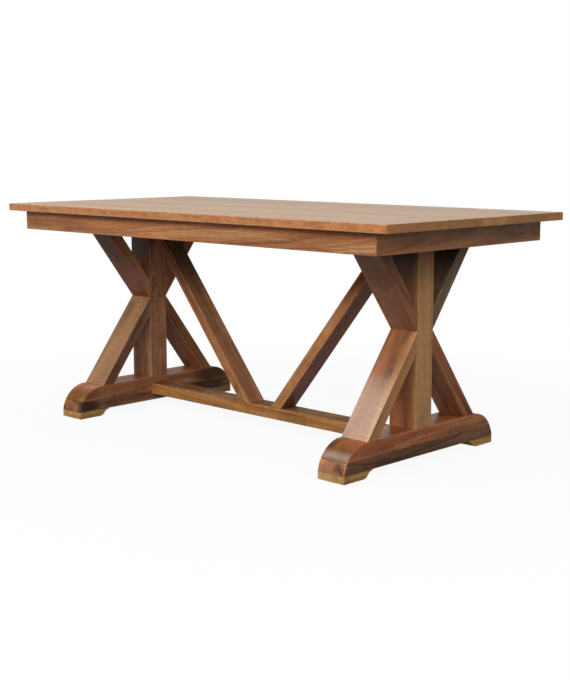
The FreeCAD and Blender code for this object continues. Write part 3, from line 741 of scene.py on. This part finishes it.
# %% [markdown]
# ## Screws
# The screws that hold the top are plain zinc plated steel. They sit deep in the head beams, so nobody
# sees much of them. A flat grey would do, but zinc has a fine brushed sheen, and noise stretched along
# the shank gives it.

# %% Screws
ZINC = colour(150, 150, 152), colour(196, 196, 198)   # the dark and the pale of the brushed plating
ZINC_ROUGH = 0.28     # roughness of the dark, and below it what the pale adds to it
ZINC_DULL = 0.25


def zinc():
    material, wire = new_finish("zinc_screws")
    rest = wire.add("ShaderNodeTexCoord", {}, {}, "Object")
    brushed = rest.noise((900, 900, 120), 2.0)
    shade = brushed.tint(*ZINC)
    feeds = {"Base Color": shade, "Metallic": 1.0, "Roughness": ZINC_ROUGH + ZINC_DULL * brushed}
    surface = wire.add("ShaderNodeBsdfPrincipled", {}, feeds)
    wire.add("ShaderNodeOutputMaterial", {}, {"Surface": surface})
    return material


dress("head_beam_screws", zinc())
print("screws dressed in", planks["head_beam_screws"].data.materials[0].name)

# %% [markdown]
# ## Studio
# The table stands on a seamless white sweep. A sweep could be modelled and lit until it is white, but
# that light would spill under the table, where the real picture is dark. Instead the floor and the world
# look white to the camera and in reflections, and give little light themselves. The floor keeps the
# table's shadow.

# %% Studio
FLOOR_REACH = 9.0     # metres around the table
SPILL = 0.02          # light that comes from the white surroundings
WHITE_SHARE = 0.93    # how plain white the floor looks at the table, where it has to show the shadow
SHADOW_ENDS = (0.6, 2.2)      # metres from the middle over which it turns all white
FLOOR_DULL = (0.1, 0.1, 0.1, 1)       # the matt floor for light that bounces
FLOOR_PALE = (0.95, 0.95, 0.95, 1)    # the matt floor for what is seen


def seen(wire):
    """1 for the camera and for what mirrors or glass show, 0 for light that only bounces."""
    path = wire.add("ShaderNodeLightPath", {}, {}, "Is Camera Ray")
    return path.larger(path.also("Is Glossy Ray")).larger(path.also("Is Transmission Ray"))


def studio_world():
    """White for what is seen, and nearly dark for light that bounces."""
    world = bpy.data.worlds.new("studio")
    world.use_nodes = True
    world.node_tree.nodes.clear()
    wire = Wire(world.node_tree)
    strength = seen(wire).larger(SPILL)
    light = wire.add("ShaderNodeBackground", {}, {"Color": (1, 1, 1, 1), "Strength": strength})
    wire.add("ShaderNodeOutputWorld", {}, {"Surface": light})
    bpy.context.scene.world = world


def studio_floor():
    mesh = bpy.data.meshes.new("floor")
    shape = bmesh.new()
    bmesh.ops.create_circle(shape, cap_ends=True, segments=96, radius=FLOOR_REACH)
    shape.to_mesh(mesh)
    shape.free()
    floor = bpy.data.objects.new("floor", mesh)
    bpy.context.scene.collection.objects.link(floor)
    material, wire = new_finish("pale_floor")
    place = wire.add("ShaderNodeNewGeometry", {}, {}, "Position")
    far = place.length().step(*SHADOW_ENDS)
    shown = seen(wire)
    shade = shown.tint(FLOOR_DULL, FLOOR_PALE)
    matt = wire.add("ShaderNodeBsdfDiffuse", {}, {"Color": shade})
    white = wire.add("ShaderNodeEmission", {}, {"Color": (1, 1, 1, 1), "Strength": 1.0})
    share = shown * (WHITE_SHARE + (1 - WHITE_SHARE) * far)
    surface = wire.add("ShaderNodeMixShader", {}, {0: share, 1: matt, 2: white})
    wire.add("ShaderNodeOutputMaterial", {}, {"Surface": surface})
    mesh.materials.append(material)


studio_world()
studio_floor()
print("floor reaches", FLOOR_REACH, "m around the table")

# %% [markdown]
# ## Lamps
# A wide soft box stands in front and well above the top, so the overhang shades the apron and the upper
# braces go dark. One beside the camera and one on the right open the ends, a small one on the left puts a
# pale sheen on the braces and the rounded feet, and two low ones light the back and the left end. Spot
# lamps would be quicker to aim, but their hard shadows don't belong in this picture. Only the small box
# makes highlights: a wide one mirrored in the top would burn it white from the other side.

# %% Lamps
WAIST = (0, 0, 0.4)           # the middle of the table, which most lamps face


def lamp(name, place, width, height, power, aim=WAIST, mirrored=False):
    """A soft box at a place, facing a point. It makes highlights only where it is mirrored."""
    light = bpy.data.lights.new(name, "AREA")
    light.shape = "RECTANGLE"
    light.size, light.size_y = width, height
    light.energy = power
    box = bpy.data.objects.new(name, light)
    box.location = place
    box.rotation_euler = (Vector(aim) - Vector(place)).to_track_quat("-Z", "Y").to_euler()
    box.visible_camera = False
    box.visible_glossy = mirrored
    bpy.context.scene.collection.objects.link(box)
    print(name, "stands", round((Vector(aim) - Vector(place)).length, 2), "m from what it lights")


lamp("front_box", (0.2, -3.9, 2.65), 3.6, 1.2, 110)
lamp("camera_box", (3.1, -3.1, 1.65), 1.8, 1.2, 46)
lamp("side_box", (-0.8, -1.45, 2.1), 0.9, 0.9, 11.5, aim=(0.6, -0.2, 0.25), mirrored=True)
lamp("right_box", (3.5, 0.6, 3.1), 1.8, 1.2, 41)
lamp("back_box", (-1.8, 4.0, 1.3), 3.0, 1.5, 60)
lamp("left_box", (-4.0, 0.6, 1.3), 1.8, 1.2, 32)
bpy.context.scene.view_settings.view_transform = "Standard"

# %% [markdown] Paint and lacquer add no size.
